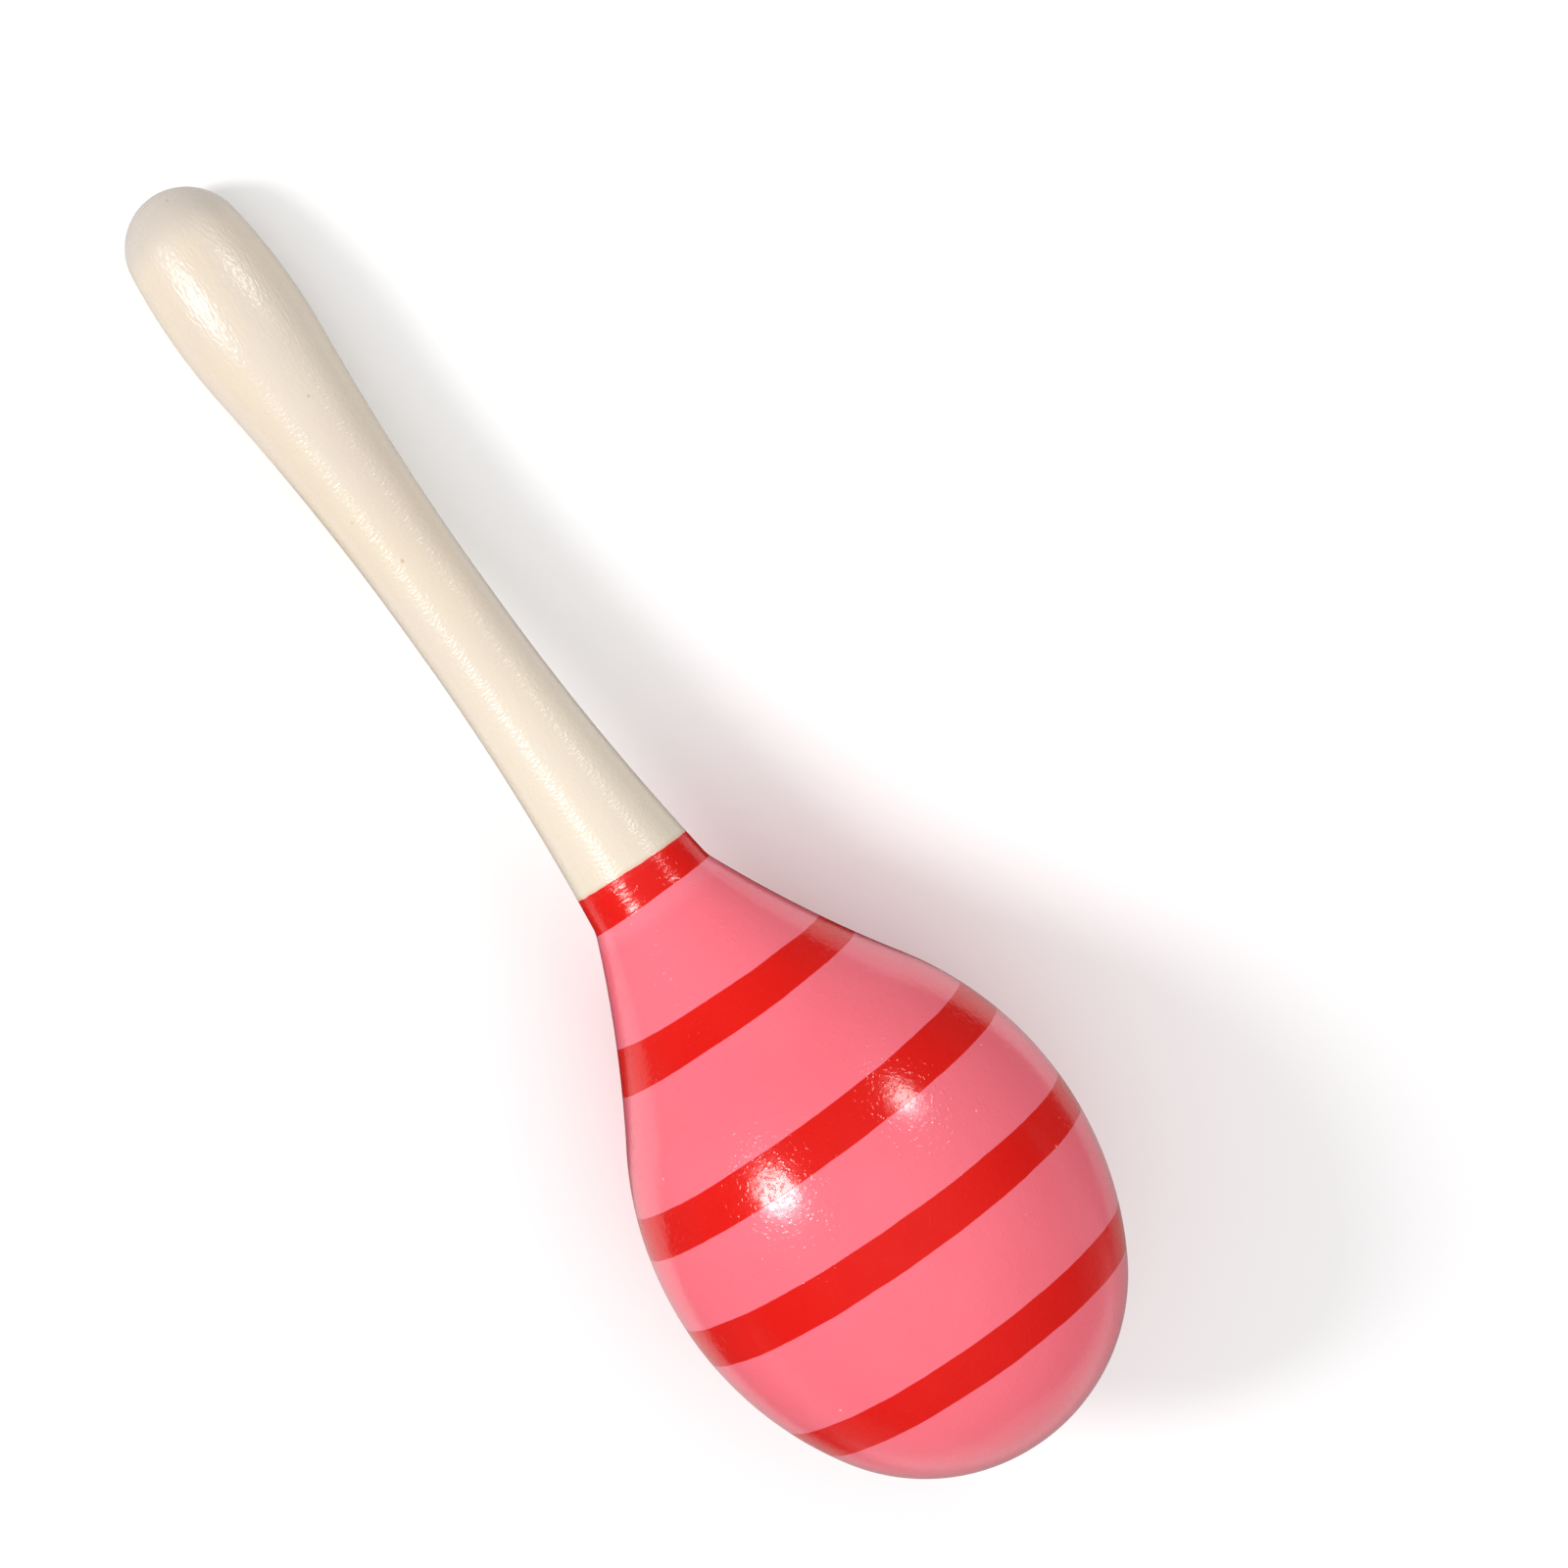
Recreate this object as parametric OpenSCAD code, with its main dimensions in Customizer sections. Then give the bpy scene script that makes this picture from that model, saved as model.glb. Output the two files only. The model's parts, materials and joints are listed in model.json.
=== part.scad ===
/* [Head] */
// Widest diameter of the head
head_d = 59.7; // [56:0.1:66]
// Length of the head from the handle joint to its tip
head_len = 92.3; // [88:0.1:98]
// Profile radius of the belly
belly_arc_r = 47.7; // [44:0.1:52]
// Gain in radius from the ball-shaped cap at the tip to the belly
cap_swell = 2.9; // [1.5:0.05:5]
// Profile radius of the hollow flank between the neck and the belly
flank_arc_r = 170; // [140:1:220]
// Wall thickness of the hollowed head
wall = 4; // [3.2:0.1:5]

/* [Neck] */
// Diameter where the head meets the handle
neck_d = 17.12; // [16:0.02:19]
// Length of the collar that carries the handle's flare on past the joint
collar_len = 3.6; // [2.6:0.1:4.6]
// Radius of the tight hollow turn between the collar and the flank
neck_fillet_r = 5; // [3:0.5:9]

/* [Seam] */
// Length of the tongue that joins the two halves of the head
tongue_len = 3; // [2:0.1:5]
// Thickness of the tongue at the seam
tongue_t = 2; // [1.2:0.1:2.6]
// Room for glue around the tongue and the tenon
glue_gap = 0.05; // [0.03:0.01:0.12]

/* [Handle] */
// Radius of the ball-shaped butt
butt_r = 8.08; // [7.4:0.01:9]
// Gain in radius from the butt to the thickest section of the club end
club_swell = 0.7; // [0.4:0.01:1]
// Profile radius of the club end
club_arc_r = 79; // [60:1:110]
// Profile radius of the hollow taper from the club end to the waist
taper_arc_r = 353; // [250:1:420]
// Diameter of the waist
waist_d = 12.5; // [11:0.1:14]
// Length of the straight waist
waist_len = 3.5; // [2:0.5:20]
// Profile radius of the hollow flare from the waist to the neck
flare_arc_r = 344; // [280:1:420]
// Width of the broken edges where the handle meets the head
edge_break = 0.2; // [0.1:0.05:0.4]

/* [Tenon] */
// Diameter of the tenon glued into the head
tenon_d = 10; // [8:0.1:12]
// Length of the tenon
tenon_len = 15; // [11:0.5:20]
// Chamfer on the end of the tenon
tenon_chamfer = 0.8; // [0.4:0.1:1.5]

/* [Shot] */
// Diameter of one steel ball
ball_d = 4.5; // [3.5:0.1:5]
// Balls along each side of the six-sided bed that they lie in
balls_per_side = 3; // [2:1:4]
// Free space between neighbouring balls
ball_gap = 0.3; // [0.2:0.05:0.6]
// Free space between a ball and the wall below it
seat_gap = 0.2; // [0.1:0.05:0.4]

/* [Hidden] */
$fn = 96;
arc_fn = 256;
far = 400;

// Half sections are drawn as [radius, distance from the butt] and turned about the axis.
head_r = head_d / 2;
cap_r = head_r - cap_swell;
neck_r = neck_d / 2;
waist_r = waist_d / 2;
tenon_r = tenon_d / 2;
ball_r = ball_d / 2;
club_r = butt_r + club_swell;

// Handle: butt ball, club arc, taper arc, waist and flare arc, each running smoothly into the next.
butt_c = [0, butt_r];
club_z = butt_r + sqrt((club_arc_r - butt_r) ^ 2 - (club_arc_r - club_r) ^ 2);
club_c = [club_r - club_arc_r, club_z];
butt_end_z = club_z - (club_z - butt_r) * club_arc_r / (club_arc_r - butt_r);
club_drop = club_r - waist_r;
waist_start = club_z + sqrt(club_drop * (2 * taper_arc_r + 2 * club_arc_r - club_drop));
taper_c = [waist_r + taper_arc_r, waist_start];
club_end_z = club_z + (waist_start - club_z) * club_arc_r / (club_arc_r + taper_arc_r);
waist_end = waist_start + waist_len;
flare_rise = neck_r - waist_r;
flare_c = [waist_r + flare_arc_r, waist_end];
joint_z = waist_end + sqrt(flare_rise * (2 * flare_arc_r - flare_rise));
joint_edge = [neck_r, joint_z];

// Belly arc, and the cap that runs smoothly out of it.
tip_z = joint_z + head_len;
cap_c = [0, tip_z - cap_r];
belly_z = cap_c.y - sqrt((belly_arc_r - cap_r) ^ 2 - (belly_arc_r - head_r) ^ 2);
belly_c = [head_r - belly_arc_r, belly_z];
cap_way = (cap_c - belly_c) / (belly_arc_r - cap_r);

// The place at distance ra from a and rb from b, to the left of the way from a to b.
function meet(a, ra, b, rb) =
    let (gap = norm(b - a), way = (b - a) / gap, along = (ra ^ 2 - rb ^ 2 + gap ^ 2) / (2 * gap))
        a + along * way + sqrt(ra ^ 2 - along ^ 2) * [-way.y, way.x];

// Neck and flank arcs: the collar carries the handle's flare on to a corner, the flank runs from that
// corner smoothly into the belly arc, and a tight hollow turn rounds the corner.
corner_z = joint_z + collar_len;
corner = [flare_c.x - sqrt(flare_arc_r ^ 2 - (corner_z - waist_end) ^ 2), corner_z];
flank_c = meet(belly_c, belly_arc_r + flank_arc_r, corner, flank_arc_r);
flank_way = (flank_c - belly_c) / (belly_arc_r + flank_arc_r);
fillet_c = meet(flank_c, flank_arc_r - neck_fillet_r, flare_c, flare_arc_r - neck_fillet_r);
fillet_start_z = flare_c.y + (fillet_c.y - flare_c.y) * flare_arc_r / (flare_arc_r - neck_fillet_r);
fillet_end_z = flank_c.y + (fillet_c.y - flank_c.y) * flank_arc_r / (flank_arc_r - neck_fillet_r);

// Hollow of the head: a flat floor level with the tenon's end, then the outline set in by the wall.
floor_z = joint_z + tenon_len;
bore_r = tenon_r + glue_gap;
tongue_r = head_r - wall + tongue_t;

// The maraca lies on its side, on the butt or the club end and on the belly.
butt_lean = atan2(club_z - butt_r, club_arc_r - club_r);
function lean_on(centre, r) =
    acos((r - belly_arc_r) / norm(belly_c - centre))
    + atan2(belly_c.x - centre.x, belly_c.y - centre.y) - 90;
lean_on_butt = lean_on(butt_c, butt_r);
rest_lean = lean_on_butt > butt_lean ? lean_on_butt : lean_on(club_c, club_arc_r);
rest_lift = belly_arc_r + belly_c.x * cos(rest_lean) - belly_c.y * sin(rest_lean);
rest_middle = (cap_r - butt_r + (cap_c.y + butt_r) * cos(rest_lean)) / 2;

// Bed of shot: rows of a six-sided patch around the lowest place in the hollow.
seat_arc_r = belly_arc_r - wall - ball_r - seat_gap;
pitch = ball_d + ball_gap;
bed_z = belly_z - seat_arc_r * sin(rest_lean);
function seat_r(z) = belly_c.x + sqrt(seat_arc_r ^ 2 - (z - belly_z) ^ 2);
bed = [
    for (row = [1 - balls_per_side : balls_per_side - 1])
        let (in_row = 2 * balls_per_side - 1 - abs(row))
            for (place = [0 : in_row - 1])
                [(place - (in_row - 1) / 2) * pitch, bed_z + row * pitch * sin(60)]
];
function ball_name(i) = str("ball_", i < 9 ? "0" : "", i + 1);

// The part of each coordinate that is a whole number of steps.
function whole(p, step) = [for (v = p) floor(v / step) * step];

// Moves by whole millimetres, then by thousandths and then by what is left, so that arcs which
// run into each other meet to a millionth of a millimetre.
module at(p) {
    mm = whole(p, 1);
    fine = whole(p - mm, 0.001);
    translate(mm) translate(fine) translate(p - mm - fine) children();
}

// A level slice of the half section, out to radius r.
module slice(z0, z1, r) {
    intersection() {
        at([0, z0]) square([r, far]);
        at([0, z1]) translate([0, -far]) square([r, far]);
    }
}

// A slice bounded by a bulging arc.
module bulge(z0, z1, centre, r) {
    intersection() {
        slice(z0, z1, head_d);
        at(centre) circle(r, $fn = arc_fn);
    }
}

// A slice bounded by a hollow arc.
module hollow(z0, z1, centre, r) {
    difference() {
        slice(z0, z1, centre.x);
        at(centre) circle(r, $fn = arc_fn);
    }
}

// The corners that are taken off where the handle meets the head: a wedge that opens outwards.
module broken_edge() {
    at(joint_edge) polygon([[-edge_break, 0], [edge_break, -2 * edge_break], [edge_break, 2 * edge_break]]);
}

// Half section of the head's flank, belly and cap, set in from the outside.
module head_section(start_z, inset) {
    flank_z = belly_c.y + (belly_arc_r - inset) * flank_way.y;
    cap_z = belly_c.y + (belly_arc_r - inset) * cap_way.y;
    hollow(start_z, flank_z, flank_c, flank_arc_r + inset);
    bulge(flank_z, cap_z, belly_c, belly_arc_r - inset);
    bulge(cap_z, tip_z - inset, cap_c, cap_r - inset);
}

// Half section of the collar and of the tight turn above it.
module neck_section() {
    difference() {
        hollow(joint_z, fillet_start_z, flare_c, flare_arc_r);
        broken_edge();
    }
    hollow(fillet_start_z, fillet_end_z, fillet_c, neck_fillet_r);
}

// Half section of the tenon with its chamfered end, rooted in the handle.
module tenon_section() {
    at([0, joint_z]) polygon([
        [0, -tenon_len],
        [waist_r, -tenon_len],
        [tenon_r, 0],
        [tenon_r, tenon_len - tenon_chamfer],
        [tenon_r - tenon_chamfer, tenon_len],
        [0, tenon_len]
    ]);
}

// Lays a piece that was turned about Z on its side, with the handle towards -X.
module lying() {
    translate([-rest_middle, 0, rest_lift]) rotate([0, 90 - rest_lean, 0]) children();
}

// Turned wooden handle with its tenon.
module handle() {
    color("wheat") lying() rotate_extrude() {
        bulge(0, butt_end_z, butt_c, butt_r);
        bulge(butt_end_z, club_end_z, club_c, club_arc_r);
        hollow(club_end_z, waist_start, taper_c, taper_arc_r);
        slice(waist_start, waist_end, waist_r);
        difference() {
            hollow(waist_end, joint_z, flare_c, flare_arc_r);
            broken_edge();
        }
        tenon_section();
    }
}

// Half of the head on the handle's side, bored for the tenon and rabbeted at the seam.
module neck_half() {
    color("lightcoral") lying() rotate_extrude() difference() {
        intersection() {
            union() {
                neck_section();
                head_section(fillet_end_z, 0);
            }
            slice(joint_z, belly_z, head_d);
        }
        slice(joint_z - wall, floor_z + wall, bore_r);
        head_section(floor_z, wall);
        slice(belly_z - tongue_len - glue_gap, belly_z + wall, tongue_r + glue_gap);
    }
}

// Half of the head at the tip, with the tongue that fits into the rabbet.
module dome_half() {
    color("lightcoral") lying() rotate_extrude() difference() {
        union() {
            intersection() {
                head_section(fillet_end_z, 0);
                slice(belly_z, tip_z, head_d);
            }
            slice(belly_z - tongue_len, belly_z + tongue_len, tongue_r);
        }
        head_section(floor_z, wall);
    }
}

// One steel ball, seated on the wall of the hollow.
module ball(place) {
    reach = sqrt(seat_r(place.y) ^ 2 - place.x ^ 2);
    color("silver") lying() translate([reach, place.x, place.y]) sphere(ball_r);
}

handle();
neck_half();
dome_half();
for (i = [0 : len(bed) - 1]) {
    ball(bed[i]);
}
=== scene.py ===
import json
import math

import bpy
import numpy as np
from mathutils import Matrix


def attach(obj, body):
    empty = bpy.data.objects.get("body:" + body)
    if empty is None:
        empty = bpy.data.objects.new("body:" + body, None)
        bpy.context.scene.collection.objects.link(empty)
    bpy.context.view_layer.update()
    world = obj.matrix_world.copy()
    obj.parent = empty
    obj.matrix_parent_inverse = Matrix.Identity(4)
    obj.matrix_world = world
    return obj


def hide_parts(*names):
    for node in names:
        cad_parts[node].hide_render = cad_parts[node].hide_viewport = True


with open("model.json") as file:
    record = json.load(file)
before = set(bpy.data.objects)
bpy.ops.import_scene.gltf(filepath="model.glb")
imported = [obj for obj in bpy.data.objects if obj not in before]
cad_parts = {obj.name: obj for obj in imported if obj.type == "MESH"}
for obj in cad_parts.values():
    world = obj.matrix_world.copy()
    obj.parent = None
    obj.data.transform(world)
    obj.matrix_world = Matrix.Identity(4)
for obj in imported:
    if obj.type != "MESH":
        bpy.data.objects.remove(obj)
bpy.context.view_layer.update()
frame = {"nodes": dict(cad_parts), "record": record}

# Handle.
# A stick of pale, close-grained wood, turned to a round club end, a slim waist and a flare, then sanded
# and dipped in satin lacquer. Its tenon is glued into the head; glue and paint fill that joint's bevels.
butt_r = 0.00808
club_r = 0.00878
club_arc_r = 0.079
taper_arc_r = 0.353
waist_r = 0.00625
waist_len = 0.0035
flare_arc_r = 0.344
neck_r = 0.00856
tenon_r = 0.005
tenon_len = 0.015
tenon_chamfer = 0.0008

club_z = butt_r + math.sqrt((club_arc_r - butt_r) ** 2 - (club_arc_r - club_r) ** 2)
butt_end_z = club_z - (club_z - butt_r) * club_arc_r / (club_arc_r - butt_r)
club_drop = club_r - waist_r
waist_start = club_z + math.sqrt(club_drop * (2 * taper_arc_r + 2 * club_arc_r - club_drop))
club_end_z = club_z + (waist_start - club_z) * club_arc_r / (club_arc_r + taper_arc_r)
waist_end = waist_start + waist_len
flare_rise = neck_r - waist_r
joint_z = waist_end + math.sqrt(flare_rise * (2 * flare_arc_r - flare_rise))
flare_c = np.array([waist_r + flare_arc_r, waist_end])

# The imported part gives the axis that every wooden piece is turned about, and a point on it.
clip_seat = frame["record"]["mounts"][0]
along = np.array(clip_seat["axis"], float)
across = np.array([0.0, 1.0, 0.0])
upward = np.cross(along, across)
butt = np.array(clip_seat["pos_m"]) - (waist_start + waist_len / 2) * along
lean = math.atan2(along[2], along[0])


def arc(centre, r, z0, z1, side):
    """A stretch of a circle in the half section, from height z0 to z1.

    Each point is the centre plus r times (side * cos a, sin a).
    The angle a is spaced closely at both ends.
    """
    steps = 48
    ends = np.arcsin(np.clip((np.array([z0, z1]) - centre[1]) / r, -1, 1))
    spread = 0.5 - 0.5 * np.cos(np.linspace(0, math.pi, steps))
    a = ends[0] + (ends[1] - ends[0]) * spread
    return np.column_stack([centre[0] + side * r * np.cos(a), centre[1] + r * np.sin(a)])


def turned(name, runs):
    """A surface of revolution about the maraca's axis.

    A half-section point (r, z) at angle q goes to
    butt + z * along + r * (cos q * upward + sin q * across).
    Each run is a row of such points with the material slot of its faces, and starts where the last ended.
    Runs that begin and end on the axis get a fan of triangles at each pole. Others close into a loop.
    """
    spokes = 192
    sharp_angle = math.radians(30)
    on_axis = 1e-9
    rows = np.concatenate([run[:-1] for run, slot in runs] + [runs[-1][0][-1:]])
    slots = np.concatenate([np.full(len(run) - 1, slot) for run, slot in runs])
    q = np.arange(spokes) * 2 * math.pi / spokes
    ways = np.outer(np.cos(q), upward) + np.outer(np.sin(q), across)
    points = butt + rows[:, None, 1:] * along + rows[:, None, :1] * ways
    number = np.arange(len(rows) * spokes).reshape(len(rows), spokes)
    poles = bool(rows[0, 0] < on_axis)
    if poles:
        points = np.concatenate([points[0, :1], points[1:-1].reshape(-1, 3), points[-1, :1]])
        number = np.clip(number - spokes + 1, 0, len(points) - 1)
    else:
        points = points[:-1].reshape(-1, 3)
        number[-1] = number[0]
    following = np.roll(number, -1, axis=1)
    quads = np.stack([number[:-1], number[1:], following[1:], following[:-1]], axis=-1)
    faces = quads.reshape(-1, 4).tolist()
    if poles:
        first_fan = quads[0][:, :3].tolist()
        last_fan = quads[-1][:, [0, 1, 3]].tolist()
        faces = first_fan + quads[1:-1].reshape(-1, 4).tolist() + last_fan
    mesh = bpy.data.meshes.new(name)
    mesh.from_pydata(points.tolist(), [], faces)
    mesh.polygons.foreach_set("material_index", np.repeat(slots, spokes).astype(np.int32))
    mesh.shade_smooth()
    mesh.set_sharp_from_angle(angle=sharp_angle)
    piece = bpy.data.objects.new(name, mesh)
    bpy.context.scene.collection.objects.link(piece)
    return piece


handle_outside = np.concatenate([
    [[0, 0]],
    arc((0, butt_r), butt_r, 0, butt_end_z, 1)[1:],
    arc((club_r - club_arc_r, club_z), club_arc_r, butt_end_z, club_end_z, 1)[1:],
    arc((waist_r + taper_arc_r, waist_start), taper_arc_r, club_end_z, waist_start, -1)[1:],
    arc(flare_c, flare_arc_r, waist_end, joint_z, -1),
])
tenon_outside = np.array([
    handle_outside[-1],
    [tenon_r, joint_z],
    [tenon_r, joint_z + tenon_len - tenon_chamfer],
    [tenon_r - tenon_chamfer, joint_z + tenon_len],
    [0, joint_z + tenon_len],
])
handle = turned("turned_handle", [(handle_outside, 0), (tenon_outside, 1)])


def put(tree, kind, inputs=None, **settings):
    """Adds a shader node, with its settings, and sets or links its inputs by name or number."""
    node = tree.nodes.new("ShaderNode" + kind)
    for key, value in settings.items():
        setattr(node, key, value)
    for key, value in (inputs or {}).items():
        if isinstance(value, bpy.types.NodeSocket):
            tree.links.new(value, node.inputs[key])
        else:
            node.inputs[key].default_value = value
    return node


def maths(tree, operation, *values):
    """A Math node on one to three values; gives its result."""
    return put(tree, "Math", dict(enumerate(values)), operation=operation).outputs[0]


def ramp(tree, value, low, high, start=0.0, end=1.0):
    """A smooth step of value from start, at low, to end, at high."""
    inputs = {"Value": value, "From Min": low, "From Max": high, "To Min": start, "To Max": end}
    return put(tree, "MapRange", inputs, interpolation_type="SMOOTHSTEP").outputs[0]


def blend(tree, share, first, second):
    """A colour between first and second; each is a colour or another node's output."""
    return put(tree, "Mix", {0: share, 6: first, 7: second}, data_type="RGBA").outputs[2]


def noise(tree, place, scale, detail=2.0, stretch=None):
    """Noise from 0 to 1 at a place; stretch scales the place along each axis."""
    if stretch:
        place = put(tree, "VectorMath", {0: place, 1: stretch}, operation="MULTIPLY").outputs[0]
    return put(tree, "TexNoise", {"Vector": place, "Scale": scale, "Detail": detail}).outputs["Fac"]


def new_group(name, inputs, outputs):
    """A shader node group with these named sockets; gives the group and its input and output nodes."""
    group = bpy.data.node_groups.new(name, "ShaderNodeTree")
    for way, sockets in (("INPUT", inputs), ("OUTPUT", outputs)):
        for label, kind in sockets.items():
            group.interface.new_socket(label, in_out=way, socket_type="NodeSocket" + kind)
    return group, group.nodes.new("NodeGroupInput"), group.nodes.new("NodeGroupOutput")


millimetre = 0.001


def make_lathe_axes():
    """Millimetres along the maraca's axis from the butt (x), across it (y) and upwards from it (z)."""
    outputs = {"Place": "Vector", "Along": "Float", "Across": "Float", "Upward": "Float"}
    group, start, end = new_group("lathe_axes", {"Point": "Vector"}, outputs)
    mapping = put(group, "Mapping", {"Vector": start.outputs["Point"]}, vector_type="TEXTURE")
    mapping.inputs["Location"].default_value = butt
    mapping.inputs["Rotation"].default_value = (0, -lean, 0)
    mapping.inputs["Scale"].default_value = (millimetre, millimetre, millimetre)
    parts = put(group, "SeparateXYZ", {0: mapping.outputs[0]})
    group.links.new(mapping.outputs[0], end.inputs["Place"])
    for output, label in zip(parts.outputs, ("Along", "Across", "Upward")):
        group.links.new(output, end.inputs[label])
    return group


def make_wood_grain():
    """Masks of wood grain: growth rings about a far pith, long fibres, short pores and broad blotches."""
    inputs = {"Place": "Vector", "Across": "Float", "Upward": "Float"}
    outputs = {"Rings": "Float", "Fibres": "Float", "Pores": "Float", "Blotches": "Float"}
    group, start, end = new_group("wood_grain", inputs, outputs)
    pith_across, pith_upward = 21.0, -30.0
    ring_pitch, ring_waver = 1.9, 9.0
    waver_scale, waver_stretch = 0.035, (0.5, 1.0, 1.0)
    late_start, late_end = 0.25, 0.9
    fibre_stretch = (0.05, 2.4, 2.4)
    pore_stretch, pore_low, pore_high = (0.45, 3.6, 3.6), 0.68, 0.80
    blotch_scale, blotch_stretch = 0.05, (0.6, 1.6, 1.6)
    place = start.outputs["Place"]
    waver = noise(group, place, waver_scale, detail=3.0, stretch=waver_stretch)
    aside = maths(group, "SUBTRACT", start.outputs["Across"], pith_across)
    above = maths(group, "SUBTRACT", start.outputs["Upward"], pith_upward)
    square = maths(group, "MULTIPLY", aside, aside)
    reach = maths(group, "SQRT", maths(group, "MULTIPLY_ADD", above, above, square))
    bent = maths(group, "MULTIPLY_ADD", waver, ring_waver, reach)
    year = maths(group, "FRACT", maths(group, "DIVIDE", bent, ring_pitch))
    darkening = ramp(group, year, late_start, late_end)
    new_year = ramp(group, year, late_end, 1.0, 1.0, 0.0)
    group.links.new(maths(group, "MULTIPLY", darkening, new_year), end.inputs["Rings"])
    group.links.new(noise(group, place, 1.0, detail=3.0, stretch=fibre_stretch), end.inputs["Fibres"])
    pores = noise(group, place, 1.0, detail=1.0, stretch=pore_stretch)
    group.links.new(ramp(group, pores, pore_low, pore_high), end.inputs["Pores"])
    group.links.new(noise(group, place, blotch_scale, stretch=blotch_stretch), end.inputs["Blotches"])
    return group


lathe_axes = make_lathe_axes()
wood_grain = make_wood_grain()


def wood_parts(tree):
    """Places the axes and the grain in a wood material; gives both nodes."""
    point = put(tree, "TexCoord").outputs["Object"]
    axes = put(tree, "Group", node_tree=lathe_axes)
    tree.links.new(point, axes.inputs["Point"])
    grain = put(tree, "Group", node_tree=wood_grain)
    for label in ("Place", "Across", "Upward"):
        tree.links.new(axes.outputs[label], grain.inputs[label])
    return axes, grain


def new_material(name):
    """An empty node material; gives it, its node tree and its Principled shader."""
    material = bpy.data.materials.new(name)
    material.use_nodes = True
    return material, material.node_tree, material.node_tree.nodes["Principled BSDF"]


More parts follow.
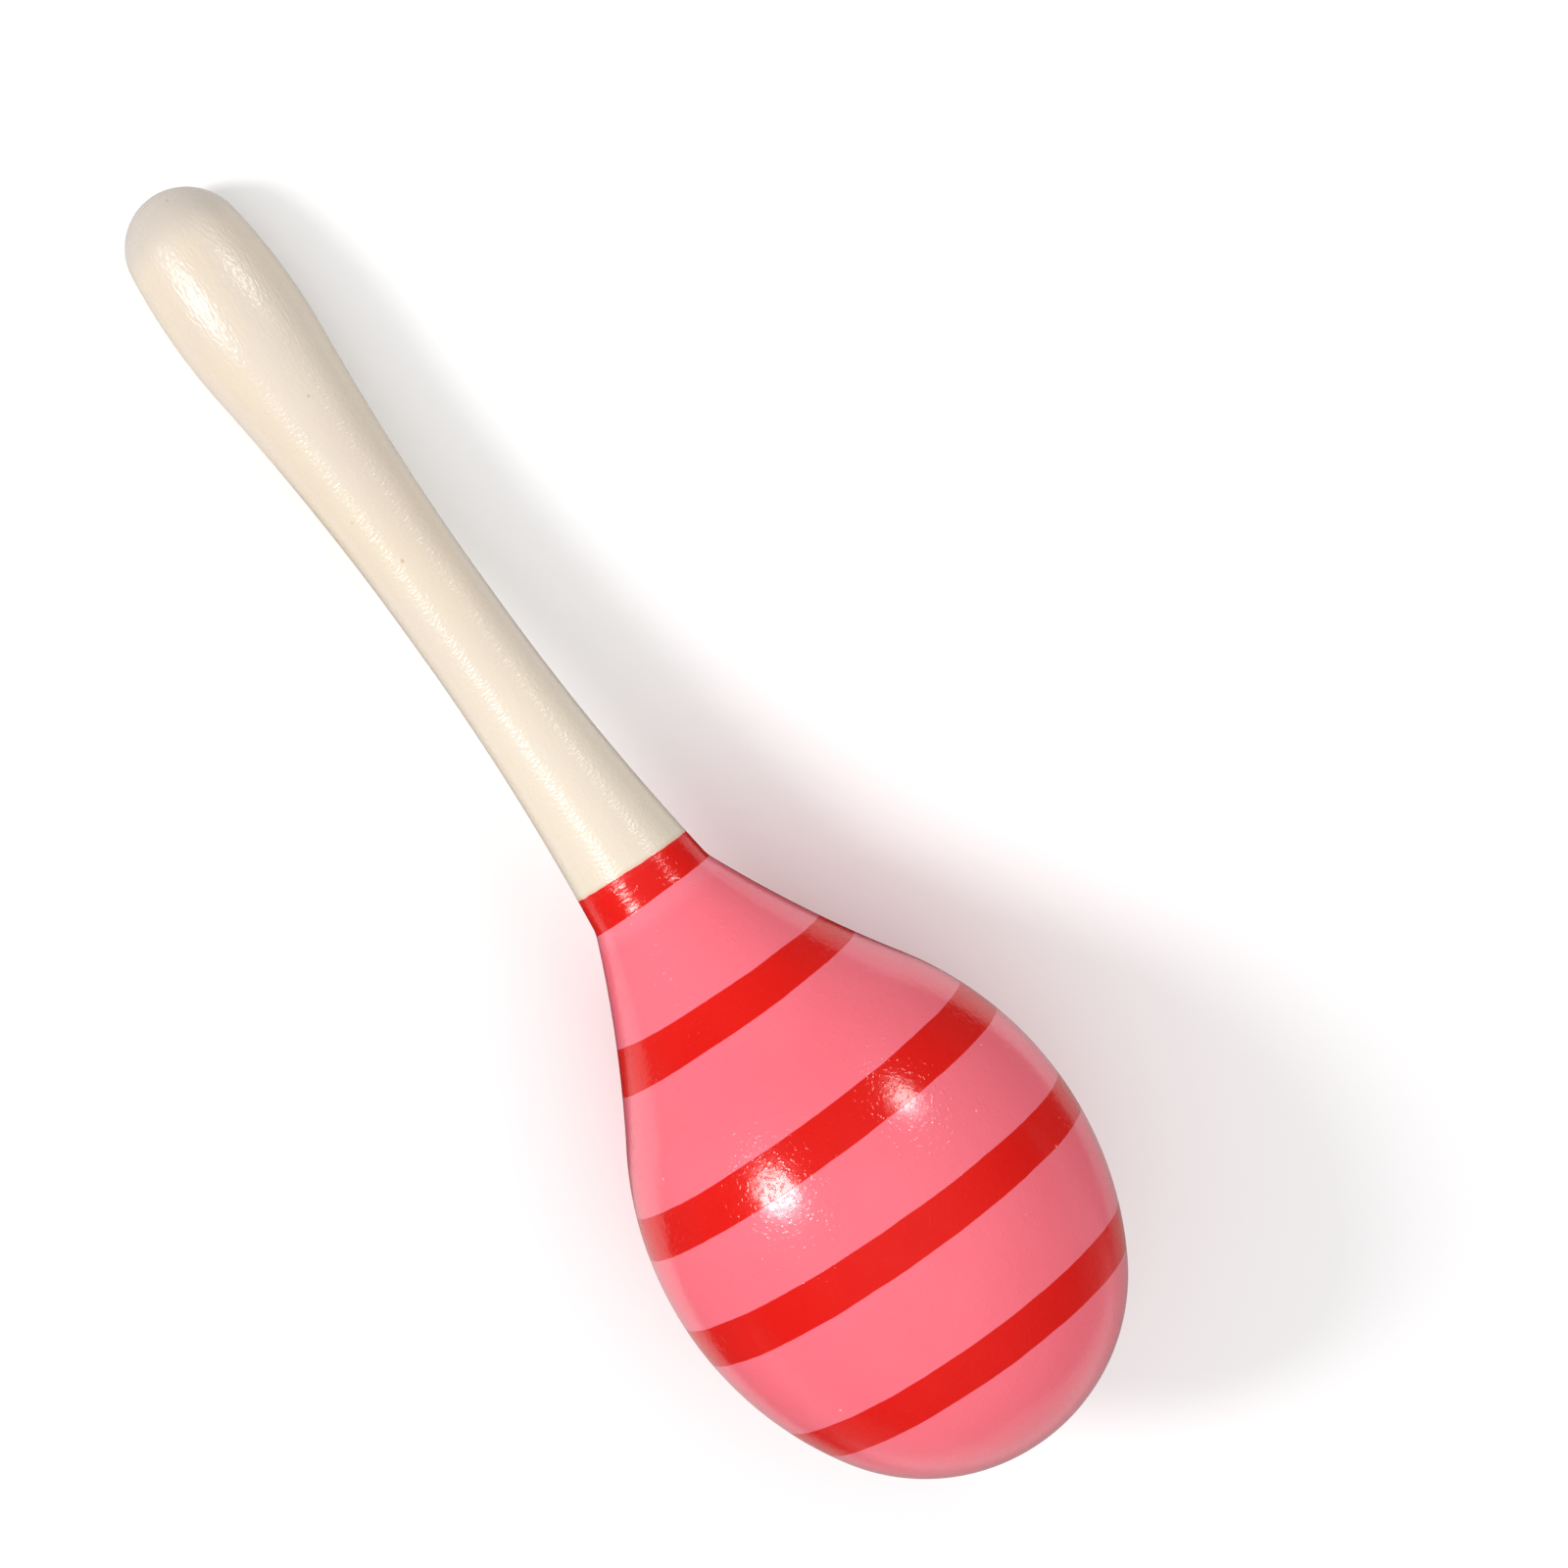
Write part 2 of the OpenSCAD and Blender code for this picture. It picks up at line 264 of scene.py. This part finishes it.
def lacquered_wood():
    """Pale cream wood under satin lacquer: blotches, rings, fibres, pin knots and a lap of red paint.

    Lengths are in millimetres. A pin knot is its place along and across the axis and its radius.
    """
    cream = (0.672, 0.588, 0.494, 1)
    straw = (0.69, 0.592, 0.466, 1)
    rose = (0.665, 0.567, 0.481, 1)
    pale = (0.765, 0.675, 0.555, 1)
    brown = (0.45, 0.31, 0.20, 1)
    end_grain = (0.565, 0.502, 0.444, 1)
    peach = (0.72, 0.42, 0.31, 1)
    lap_red = (0.69, 0.0115, 0.008, 1)
    blotch_low, blotch_high = 0.42, 0.64
    warm_scale, warm_stretch = 0.09, (0.5, 1.2, 1.2)
    warm_low, warm_high, warm_share = 0.50, 0.72, 0.6
    fibre_low, fibre_high = 0.42, 0.72
    ring_share, fibre_share, pore_share = 0.16, 0.04, 0.05
    pale_from, pale_to, pale_share = 40, 100, 0.6
    end_from, end_to, end_share = 9.5, 4.5, 0.85
    lap_start, lap_lean, lap_edge = 107.15, -0.045, 0.05
    lap_waver, lap_waver_scale = 0.3, 0.5
    bleed_len, bleed_share = 0.7, 0.6
    pin_knots = ((57.6, -1.0, 0.32), (33.5, 1.6, 0.22), (49.8, -3.4, 0.18), (2.4, 1.5, 0.25))
    knot_core, knot_squeeze, knot_share = 0.3, 0.7, 0.55
    least_rough, rough_range = 0.12, 0.24
    wrinkle_stretch, mark_stretch = (0.9, 2.6, 2.6), (2.6, 1.5, 1.5)
    marks_from, marks_to, marks_share = 16, 40, 0.8
    wrinkle_depth, fibre_depth = 0.085, 0.016
    smooth_to, uneven_from, smooth_share = 3.0, 9.0, 0.2
    material, tree, shader = new_material("lacquered_wood")
    axes, grain = wood_parts(tree)
    place, distance = axes.outputs["Place"], axes.outputs["Along"]
    blotches = ramp(tree, grain.outputs["Blotches"], blotch_low, blotch_high)
    colour = blend(tree, blotches, cream, straw)
    warm = noise(tree, place, warm_scale, stretch=warm_stretch)
    colour = blend(tree, ramp(tree, warm, warm_low, warm_high, 0.0, warm_share), colour, rose)
    colour = blend(tree, maths(tree, "MULTIPLY", grain.outputs["Rings"], ring_share), colour, rose)
    fibres = ramp(tree, grain.outputs["Fibres"], fibre_low, fibre_high, 0.0, fibre_share)
    colour = blend(tree, fibres, colour, brown)
    colour = blend(tree, maths(tree, "MULTIPLY", grain.outputs["Pores"], pore_share), colour, brown)
    # The wood turns a paler cream from 40 to 100 mm along the axis, towards the neck.
    colour = blend(tree, ramp(tree, distance, pale_from, pale_to, 0.0, pale_share), colour, pale)
    colour = blend(tree, ramp(tree, distance, end_from, end_to, 0.0, end_share), colour, end_grain)
    for knot_along, knot_across, knot_r in pin_knots:
        aside = maths(tree, "SUBTRACT", axes.outputs["Across"], knot_across)
        ahead = maths(tree, "MULTIPLY", maths(tree, "SUBTRACT", distance, knot_along), knot_squeeze)
        square = maths(tree, "MULTIPLY", aside, aside)
        apart = maths(tree, "SQRT", maths(tree, "MULTIPLY_ADD", ahead, ahead, square))
        upper_side = ramp(tree, axes.outputs["Upward"], 0, 1)
        dot = maths(tree, "MULTIPLY", ramp(tree, apart, knot_r, knot_core * knot_r), upper_side)
        colour = blend(tree, maths(tree, "MULTIPLY", dot, knot_share), colour, brown)
    swing = noise(tree, place, lap_waver_scale)
    waver = maths(tree, "MULTIPLY_ADD", swing, lap_waver, -lap_waver / 2)
    wavering = maths(tree, "ADD", distance, waver)
    lap = maths(tree, "MULTIPLY_ADD", axes.outputs["Across"], lap_lean, wavering)
    bleed = ramp(tree, lap, lap_start - bleed_len, lap_start, 0.0, bleed_share)
    colour = blend(tree, bleed, colour, peach)
    painted = ramp(tree, lap, lap_start - lap_edge, lap_start + lap_edge)
    colour = blend(tree, painted, colour, lap_red)
    tree.links.new(colour, shader.inputs["Base Color"])
    rough = maths(tree, "MULTIPLY_ADD", grain.outputs["Fibres"], rough_range, least_rough)
    tree.links.new(rough, shader.inputs["Roughness"])
    shader.inputs["Specular IOR Level"].default_value = 0.39
    wrinkles = noise(tree, place, 1.0, detail=1.0, stretch=wrinkle_stretch)
    lathe_marks = noise(tree, place, 1.0, detail=1.0, stretch=mark_stretch)
    share = ramp(tree, distance, marks_from, marks_to, 0.0, marks_share)
    change = maths(tree, "MULTIPLY", maths(tree, "SUBTRACT", lathe_marks, wrinkles), share)
    height = maths(tree, "MULTIPLY", maths(tree, "ADD", wrinkles, change), wrinkle_depth)
    height = maths(tree, "MULTIPLY_ADD", grain.outputs["Fibres"], fibre_depth, height)
    uneven = ramp(tree, distance, smooth_to, uneven_from, smooth_share, 1.0)
    height = maths(tree, "MULTIPLY", height, uneven)
    bump = put(tree, "Bump", {"Height": height, "Distance": millimetre, "Strength": 1.0})
    tree.links.new(bump.outputs[0], shader.inputs["Normal"])
    return material


def bare_wood():
    """Raw turned wood of the tenon and of the hollow: the same grain without lacquer, with tool rings."""
    tan, dark = (0.70, 0.55, 0.36, 1), (0.42, 0.28, 0.15, 1)
    grain_share = 0.3
    least_rough, rough_range = 0.55, 0.3
    tool_stretch, tool_depth = (1.8, 0.05, 0.05), 0.1
    material, tree, shader = new_material("bare_wood")
    axes, grain = wood_parts(tree)
    dark_parts = maths(tree, "ADD", grain.outputs["Rings"], grain.outputs["Pores"])
    shade = maths(tree, "MULTIPLY", dark_parts, grain_share)
    tree.links.new(blend(tree, shade, tan, dark), shader.inputs["Base Color"])
    rough = maths(tree, "MULTIPLY_ADD", grain.outputs["Fibres"], rough_range, least_rough)
    tree.links.new(rough, shader.inputs["Roughness"])
    tool_rings = noise(tree, axes.outputs["Place"], 1.0, detail=1.0, stretch=tool_stretch)
    bump_distance = tool_depth * millimetre
    bump = put(tree, "Bump", {"Height": tool_rings, "Distance": bump_distance, "Strength": 1.0})
    tree.links.new(bump.outputs[0], shader.inputs["Normal"])
    return material


raw_wood = bare_wood()
handle.data.materials.append(lacquered_wood())
handle.data.materials.append(raw_wood)
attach(handle, "maraca")
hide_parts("handle")

# Neck half of the head.
# Turned from a block of the same wood: a hollow flank outside, a shot chamber, a bore for the handle's tenon
# and a rabbet at the seam. It is glued to the handle first and painted once the head is closed.
head_r = 0.02985
head_len = 0.0923
belly_arc_r = 0.0477
cap_r = 0.02695
flank_arc_r = 0.170
collar_len = 0.0036
neck_fillet_r = 0.005
wall = 0.004
glue_gap = 0.00005
tongue_r = 0.02785
tongue_len = 0.003

tip_z = joint_z + head_len
cap_c = np.array([0, tip_z - cap_r])
belly_z = cap_c[1] - math.sqrt((belly_arc_r - cap_r) ** 2 - (belly_arc_r - head_r) ** 2)
belly_c = np.array([head_r - belly_arc_r, belly_z])
cap_way = (cap_c - belly_c) / (belly_arc_r - cap_r)


def meet(a, ra, b, rb):
    """The point at distance ra from a and rb from b, to the left of the way from a to b."""
    gap = np.linalg.norm(b - a)
    way = (b - a) / gap
    ahead = (ra ** 2 - rb ** 2 + gap ** 2) / (2 * gap)
    return a + ahead * way + math.sqrt(ra ** 2 - ahead ** 2) * np.array([-way[1], way[0]])


corner_z = joint_z + collar_len
corner = np.array([flare_c[0] - math.sqrt(flare_arc_r ** 2 - (corner_z - waist_end) ** 2), corner_z])
flank_c = meet(belly_c, belly_arc_r + flank_arc_r, corner, flank_arc_r)
flank_way = (flank_c - belly_c) / (belly_arc_r + flank_arc_r)
fillet_c = meet(flank_c, flank_arc_r - neck_fillet_r, flare_c, flare_arc_r - neck_fillet_r)
fillet_start_z = waist_end + (fillet_c[1] - waist_end) * flare_arc_r / (flare_arc_r - neck_fillet_r)
fillet_end_z = flank_c[1] + (fillet_c[1] - flank_c[1]) * flank_arc_r / (flank_arc_r - neck_fillet_r)
flank_end_z = belly_z + belly_arc_r * flank_way[1]
floor_z = joint_z + tenon_len
bore_r = tenon_r + glue_gap
inner_belly_r = belly_arc_r - wall
rabbet_z = belly_z - tongue_len - glue_gap
hollow_end_z = belly_z + inner_belly_r * flank_way[1]

neck_outside = np.concatenate([
    arc(flare_c, flare_arc_r, joint_z, fillet_start_z, -1),
    arc(fillet_c, neck_fillet_r, fillet_start_z, fillet_end_z, -1)[1:],
    arc(flank_c, flank_arc_r, fillet_end_z, flank_end_z, -1)[1:],
    arc(belly_c, belly_arc_r, flank_end_z, belly_z, 1)[1:],
])
neck_inside = np.concatenate([
    [[head_r, belly_z], [tongue_r + glue_gap, belly_z], [tongue_r + glue_gap, rabbet_z]],
    arc(belly_c, inner_belly_r, rabbet_z, hollow_end_z, 1),
    arc(flank_c, flank_arc_r + wall, hollow_end_z, floor_z, -1)[1:],
    [[bore_r, floor_z], [bore_r, joint_z], [neck_r, joint_z]],
])
neck_half = turned("painted_neck_half", [(neck_outside, 0), (neck_inside, 1)])


def make_painted_ring():
    """Mask of one painted ring between two edges, each a plane that may lean a little across the axis.

    The edges waver by a noise, as a hand-held brush does, and change over a tenth of a millimetre.
    """
    half_edge = 0.05
    inputs = {"Along": "Float", "Across": "Float", "Waver": "Float"}
    inputs |= {label: "Float" for label in ("Start", "Start Lean", "End", "End Lean")}
    group, start, end = new_group("painted_ring", inputs, {"Mask": "Float"})
    at = maths(group, "ADD", start.outputs["Along"], start.outputs["Waver"])
    sides = []
    for edge in ("Start", "End"):
        lean_by = maths(group, "MULTIPLY", start.outputs[edge + " Lean"], start.outputs["Across"])
        past = maths(group, "SUBTRACT", maths(group, "ADD", at, lean_by), start.outputs[edge])
        sides.append(ramp(group, past, -half_edge, half_edge))
    group.links.new(maths(group, "SUBTRACT", *sides), end.inputs["Mask"])
    return group


painted_ring = make_painted_ring()


def striped_enamel():
    """Glossy pink enamel with red rings brushed over it, rippled like orange peel, with a few dust nibs.

    Lengths are in millimetres. A ring is its start, the lean of that edge, its end and the lean of that.
    """
    pink = (0.885, 0.164, 0.213, 1)
    deep_pink = (0.875, 0.154, 0.201, 1)
    # A paler pink, used as a painted reflection of the bright studio below the neck band.
    reflected_pink = (0.90, 0.22, 0.28, 1)
    red = (0.70, 0.0105, 0.007, 1)
    deep_red = (0.67, 0.009, 0.006, 1)
    scuff = (0.95, 0.75, 0.75, 1)
    rings = (
        (100.0, 0.0, 111.93, 0.0008),
        (126.14, -0.0365, 131.20, -0.0067),
        (144.83, 0.0075, 150.37, 0.0021),
        (161.13, -0.0244, 166.74, -0.018),
        (179.70, -0.0178, 185.12, -0.0189),
    )
    drift_scale, drift_size = 0.12, 0.3
    tremor_scale, tremor_size = 0.5, 0.12
    cloud_scale, cloud_low, cloud_high = 0.06, 0.35, 0.65
    # Where the painted reflection below the neck band fades out, along the axis, and how strong it is.
    reflection_from, reflection_to, reflection_share = 115.2, 112.8, 0.5
    dust_scale, dust_r, dust_core, dust_share = 0.13, 0.030, 0.012, 0.4
    least_rough, rough_range, rough_scale = 0.11, 0.10, 0.35
    pink_coat, red_coat = 0.46, 0.26
    nib_scale, nib_r, nib_core, nib_depth = 0.24, 0.05, 0.01, 0.02
    ring_depth = 0.012
    peel_scale, peel_low, peel_high, peel_depth = 1.7, 0.50, 0.80, 0.030
    ripple_scale, ripple_depth = 0.6, 0.04
    brush_stretch, brush_depth = (2.4, 0.5, 0.5), 0.05
    brush_full, brush_end = 110.0, 114.0
    material, tree, shader = new_material("striped_enamel")
    point = put(tree, "TexCoord").outputs["Object"]
    axes = put(tree, "Group", node_tree=lathe_axes)
    tree.links.new(point, axes.inputs["Point"])
    place = axes.outputs["Place"]
    drift = noise(tree, place, drift_scale, detail=1.0)
    drift = maths(tree, "MULTIPLY_ADD", drift, drift_size, -drift_size / 2)
    tremor = noise(tree, place, tremor_scale)
    tremor = maths(tree, "MULTIPLY_ADD", tremor, tremor_size, -tremor_size / 2)
    waver = maths(tree, "ADD", drift, tremor)
    mask = None
    for ring in rings:
        one = put(tree, "Group", node_tree=painted_ring)
        for label in ("Along", "Across"):
            tree.links.new(axes.outputs[label], one.inputs[label])
        tree.links.new(waver, one.inputs["Waver"])
        for label, value in zip(("Start", "Start Lean", "End", "End Lean"), ring):
            one.inputs[label].default_value = value
        mask = one.outputs["Mask"] if mask is None else maths(tree, "MAXIMUM", mask, one.outputs["Mask"])
    cloud = ramp(tree, noise(tree, place, cloud_scale), cloud_low, cloud_high)
    ground = blend(tree, cloud, pink, deep_pink)
    # Painted reflection: the pink is blended towards a paler pink just below the neck band.
    painted_reflection = ramp(tree, axes.outputs["Along"], reflection_from, reflection_to, 0.0, reflection_share)
    ground = blend(tree, painted_reflection, ground, reflected_pink)
    coat = blend(tree, mask, ground, blend(tree, cloud, red, deep_red))
    dust = put(tree, "TexVoronoi", {"Vector": place, "Scale": dust_scale}).outputs["Distance"]
    coat = blend(tree, ramp(tree, dust, dust_r, dust_core, 0.0, dust_share), coat, scuff)
    tree.links.new(coat, shader.inputs["Base Color"])
    rough = noise(tree, place, rough_scale, detail=3.0)
    rough = maths(tree, "MULTIPLY_ADD", rough, rough_range, least_rough)
    tree.links.new(rough, shader.inputs["Roughness"])
    shader.inputs["Specular IOR Level"].default_value = 0.35
    gloss = maths(tree, "MULTIPLY_ADD", mask, red_coat - pink_coat, pink_coat)
    tree.links.new(gloss, shader.inputs["Coat Weight"])
    shader.inputs["Coat Roughness"].default_value = 0.16
    nib = put(tree, "TexVoronoi", {"Vector": place, "Scale": nib_scale}).outputs["Distance"]
    height = maths(tree, "MULTIPLY", ramp(tree, nib, nib_r, nib_core), nib_depth)
    height = maths(tree, "MULTIPLY_ADD", mask, ring_depth, height)
    peel = ramp(tree, noise(tree, place, peel_scale, detail=1.0), peel_low, peel_high)
    height = maths(tree, "MULTIPLY_ADD", peel, peel_depth, height)
    ripples = noise(tree, place, ripple_scale, detail=1.0)
    height = maths(tree, "MULTIPLY_ADD", ripples, ripple_depth, height)
    brushed = ramp(tree, axes.outputs["Along"], brush_end, brush_full)
    brush_marks = noise(tree, place, 1.0, detail=1.0, stretch=brush_stretch)
    brush_marks = maths(tree, "MULTIPLY", brush_marks, brushed)
    height = maths(tree, "MULTIPLY_ADD", brush_marks, brush_depth, height)
    bump = put(tree, "Bump", {"Height": height, "Distance": millimetre, "Strength": 1.0})
    tree.links.new(bump.outputs[0], shader.inputs["Normal"])
    return material


enamel = striped_enamel()
neck_half.data.materials.append(enamel)
neck_half.data.materials.append(raw_wood)
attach(neck_half, "maraca")
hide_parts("neck_half")

# Shot.
# Loose steel balls that make the rattle, poured into the bowl of the neck half before the head is closed.
# They are bought as bearing seconds: round, dull and finely scratched.


def dull_steel():
    """Tumbled steel: a grey metal whose roughness and height vary with fine scratches."""
    light_steel, dark_steel = (0.62, 0.63, 0.64, 1), (0.45, 0.45, 0.47, 1)
    tarnish_scale, tarnish_low, tarnish_high = 0.6, 0.45, 0.75
    least_rough, rough_range = 0.18, 0.3
    scratch_stretch, scratch_depth = (0.8, 9.0, 3.0), 0.01
    material, tree, shader = new_material("dull_steel")
    point = put(tree, "TexCoord").outputs["Object"]
    place = put(tree, "VectorMath", {0: point, 3: 1 / millimetre}, operation="SCALE").outputs[0]
    scratches = noise(tree, place, 1.0, detail=3.0, stretch=scratch_stretch)
    tarnish = ramp(tree, noise(tree, place, tarnish_scale), tarnish_low, tarnish_high)
    tree.links.new(blend(tree, tarnish, light_steel, dark_steel), shader.inputs["Base Color"])
    shader.inputs["Metallic"].default_value = 1.0
    rough = maths(tree, "MULTIPLY_ADD", scratches, rough_range, least_rough)
    tree.links.new(rough, shader.inputs["Roughness"])
    bump_distance = scratch_depth * millimetre
    bump = put(tree, "Bump", {"Height": scratches, "Distance": bump_distance, "Strength": 1.0})
    tree.links.new(bump.outputs[0], shader.inputs["Normal"])
    return material


steel = dull_steel()
for name, ball in frame["nodes"].items():
    if name.startswith("ball_"):
        ball.data.materials.clear()
        ball.data.materials.append(steel)

# Dome half of the head.
# The rounded half at the tip, turned and hollowed like the neck half, with a tongue that is glued into its
# rabbet. Both halves are painted together, so the seam lies hidden under a red ring.
cap_z = belly_z + belly_arc_r * cap_way[1]
inner_cap_z = belly_z + inner_belly_r * cap_way[1]
tongue_z = belly_z - tongue_len

dome_inside = np.concatenate([
    [[0, tip_z - wall]],
    arc(cap_c, cap_r - wall, tip_z - wall, inner_cap_z, 1)[1:],
    arc(belly_c, inner_belly_r, inner_cap_z, tongue_z, 1)[1:],
    [[tongue_r, tongue_z], [tongue_r, belly_z], [head_r, belly_z]],
])
dome_outside = np.concatenate([
    arc(belly_c, belly_arc_r, belly_z, cap_z, 1),
    arc(cap_c, cap_r, cap_z, tip_z, 1)[1:-1],
    [[0, tip_z]],
])
dome_half = turned("painted_dome_half", [(dome_inside, 1), (dome_outside, 0)])
dome_half.data.materials.append(enamel)
dome_half.data.materials.append(raw_wood)
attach(dome_half, "maraca")
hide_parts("dome_half")

# Studio.
# A wide sheet of white paper under the maraca, an oval soft lamp on either side of the head, set back
# towards the handle, and a pale room that is brightest overhead and mirrored only faintly.
paper_half = 6.0
paper = bpy.data.meshes.new("paper_floor")
corners = np.array([[-1, -1, 0], [1, -1, 0], [1, 1, 0], [-1, 1, 0]]) * paper_half
paper.from_pydata(corners.tolist(), [], [[0, 1, 2, 3]])
floor = bpy.data.objects.new("paper_floor", paper)
bpy.context.scene.collection.objects.link(floor)


def white_paper():
    """Matt white paper with a barely visible cloudiness.

    In gloss it shows in an oval ring round the maraca, fainter by the tip, and ahead of the tip.
    Elsewhere in gloss it is nearly black, as if the sheet ended there and the studio beyond were dark.
    """
    white = (0.93, 0.93, 0.93, 1)
    off_white = (0.91, 0.91, 0.91, 1)
    unlit = (0.02, 0.02, 0.02, 1)
    cloud_scale = 9.0
    oval_centre = (0.02, -0.004, 0)
    oval_half = (0.18, 0.074, 1)
    oval_turn = math.radians(8)
    inner_dark, inner_bright = 0.40, 0.50
    outer_bright, outer_dark = 0.93, 1.10
    flank_x, tip_x = 0.05, 0.13
    flank_share, tip_share = 0.55, 0.28
    front_from, front_to = 0.12, 0.16
    core_y, side_y = 0.06, 0.13
    core_share, side_share = 0.52, 0.15
    material, tree, shader = new_material("white_paper")
    point = put(tree, "TexCoord").outputs["Object"]
    sheet = blend(tree, noise(tree, point, cloud_scale), white, off_white)
    oval = put(tree, "Mapping", {"Vector": point}, vector_type="TEXTURE")
    oval.inputs["Location"].default_value = oval_centre
    oval.inputs["Rotation"].default_value = (0, 0, oval_turn)
    oval.inputs["Scale"].default_value = oval_half
    apart = put(tree, "VectorMath", {0: oval.outputs[0]}, operation="LENGTH").outputs["Value"]
    within = ramp(tree, apart, outer_dark, outer_bright)
    ring = maths(tree, "MULTIPLY", ramp(tree, apart, inner_dark, inner_bright), within)
    parts = put(tree, "SeparateXYZ", {0: point})
    ahead = parts.outputs["X"]
    aside = maths(tree, "ABSOLUTE", parts.outputs["Y"])
    ring = maths(tree, "MULTIPLY", ring, ramp(tree, ahead, flank_x, tip_x, flank_share, tip_share))
    front = ramp(tree, aside, side_y, core_y, side_share, core_share)
    front = maths(tree, "MULTIPLY", ramp(tree, ahead, front_from, front_to), front)
    bright = maths(tree, "MAXIMUM", ring, front)
    mirrored = put(tree, "LightPath").outputs["Is Glossy Ray"]
    hidden = maths(tree, "MULTIPLY", mirrored, maths(tree, "SUBTRACT", 1.0, bright))
    tree.links.new(blend(tree, hidden, sheet, unlit), shader.inputs["Base Color"])
    shader.inputs["Roughness"].default_value = 0.9
    shader.inputs["Specular IOR Level"].default_value = 0.1
    return material


floor.data.materials.append(white_paper())

lit_along = 0.150
lit_upward = 0.028
lamp_reach = 0.75
lit_spot = butt + lit_along * along + lit_upward * upward


def oval_lamp(name, side, back, top, width, depth, radiance):
    """An oval area lamp that faces the lit spot.

    It stands from that spot along the way side * across - back * along + top * upward.
    """
    way = side * across - back * along + top * upward
    way = way / np.linalg.norm(way)
    right = np.cross(along, way)
    right = right / np.linalg.norm(right)
    lamp = bpy.data.lights.new(name, "AREA")
    lamp.shape = "ELLIPSE"
    lamp.size = width
    lamp.size_y = depth
    lamp.energy = radiance * math.pi * width * depth
    stand = bpy.data.objects.new(name, lamp)
    bpy.context.scene.collection.objects.link(stand)
    turn = np.eye(4)
    turn[:3, :3] = np.column_stack([right, np.cross(way, right), way])
    turn[:3, 3] = lit_spot + lamp_reach * way
    stand.matrix_world = turn.T


oval_lamp("far_lamp", side=0.694, back=0.3635, top=0.6206, width=0.18, depth=0.12, radiance=13.8)
oval_lamp("near_lamp", side=-0.609, back=0.375, top=0.698, width=0.28, depth=0.17, radiance=20.5)

room = bpy.data.worlds.new("pale_room")
room.use_nodes = True
# How bright the room is in gloss, and behind the paper's edge, where it matches the shade of the paper.
room_mirrored = 0.06
backdrop = 0.78
# Each soft wall is the way towards it and its strength.
soft_walls = (
    ((0.0, 0.0, 1.0), 1.36),
    ((1.0, 0.0, 0.0), 0.7),
    ((0.0, -0.7071, 0.7071), 0.2),
)
direction = put(room.node_tree, "TexCoord").outputs["Generated"]
strength = 0.0
for way, gain in soft_walls:
    cosine = put(room.node_tree, "VectorMath", {0: direction, 1: way}, operation="DOT_PRODUCT")
    facing = maths(room.node_tree, "MAXIMUM", cosine.outputs["Value"], 0.0)
    square = maths(room.node_tree, "MULTIPLY", facing, facing)
    strength = maths(room.node_tree, "MULTIPLY_ADD", square, gain, strength)
rays = put(room.node_tree, "LightPath")
for ray, level in (("Is Glossy Ray", room_mirrored), ("Is Camera Ray", backdrop)):
    choice = {0: rays.outputs[ray], 2: strength, 3: level}
    strength = put(room.node_tree, "Mix", choice, data_type="FLOAT").outputs[0]
room.node_tree.nodes["Background"].inputs["Color"].default_value = (1, 1, 1, 1)
room.node_tree.links.new(strength, room.node_tree.nodes["Background"].inputs["Strength"])
bpy.context.scene.world = room
bpy.context.scene.view_settings.view_transform = "Standard"

# The camera looks down on the maraca, whose axis falls to the right in the picture by axis_fall.
camera_foot = 0.0884
camera_height = 0.480
aim_along = 0.1101
aim_across = 0.0226
axis_fall = math.radians(54.376)
lens_mm = 83.77
sensor_mm = 36

eye = butt + camera_foot * along + camera_height * upward
aim = butt + aim_along * along + aim_across * across
backward = (eye - aim) / np.linalg.norm(eye - aim)
axis_seen = along - (along @ backward) * backward
axis_seen = axis_seen / np.linalg.norm(axis_seen)
beside = np.cross(backward, axis_seen)
pose = np.eye(4)
pose[:3, 0] = math.cos(axis_fall) * axis_seen + math.sin(axis_fall) * beside
pose[:3, 1] = math.cos(axis_fall) * beside - math.sin(axis_fall) * axis_seen
pose[:3, 2] = backward
pose[:3, 3] = eye
lens = bpy.data.cameras.new("photo_camera")
lens.lens = lens_mm
lens.sensor_width = sensor_mm
camera = bpy.data.objects.new("photo_camera", lens)
bpy.context.scene.collection.objects.link(camera)
camera.matrix_world = pose.T
bpy.context.scene.camera = camera
